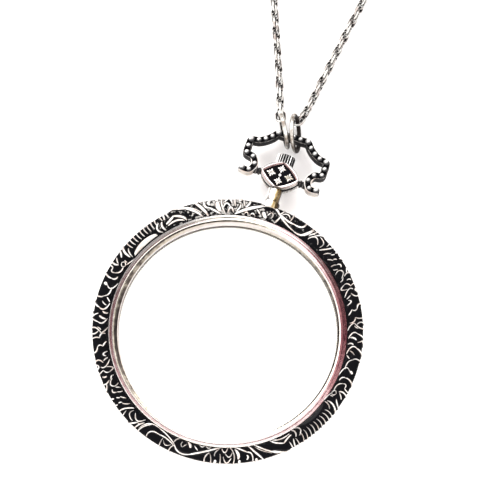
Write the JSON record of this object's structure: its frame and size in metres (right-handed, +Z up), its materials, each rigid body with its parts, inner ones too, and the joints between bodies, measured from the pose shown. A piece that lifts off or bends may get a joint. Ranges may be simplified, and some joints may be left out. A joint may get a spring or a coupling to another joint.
{
  "type": "magnifier pendant",
  "caption": "Magnifier pendant on a long fine chain: a convex lens in a cast, ornamented ring, with a lozenge crown, a fluted knob and a hinged, beaded bow.",
  "frame": {"origin": "middle of the whole footprint, pendant and chain, on the surface it lies on", "axes": "+Y from the pendant towards the far end of the chain's loop, +X across the pendant to its right, +Z up through the lens"},
  "size_m": [0.1773, 0.3914, 0.0085],
  "materials": {
    "antique_silver": "silver plate, polished high spots over a blackened ground",
    "lens_glass": "clear, polished",
    "keeper_metal": "dull, finely ribbed",
    "polished_silver": "bright polished plate",
    "ring_wire": "polished wire",
    "chain_silver": "polished fine links"
  },
  "bodies": {
    "pendant": {"frame": "antique_silver", "lens": "lens_glass", "lens_keeper": "keeper_metal", "neck": "polished_silver", "crown_body": "antique_silver", "crown_knob": "polished_silver", "jump_ring_left": "ring_wire", "jump_ring_right": "ring_wire", "end_link_left": "ring_wire", "end_link_right": "ring_wire", "chain_left": "chain_silver", "chain_right": "chain_silver"},
    "bow": {"bow": "antique_silver"}
  },
  "joints": [
    {"name": "bow_hinge", "type": "hinge", "parent": "pendant", "child": "bow", "pos_m": [0.0295, -0.13353, 0.0038], "axis": [1, 0, 0], "range_deg": [0, 16]}
  ]
}
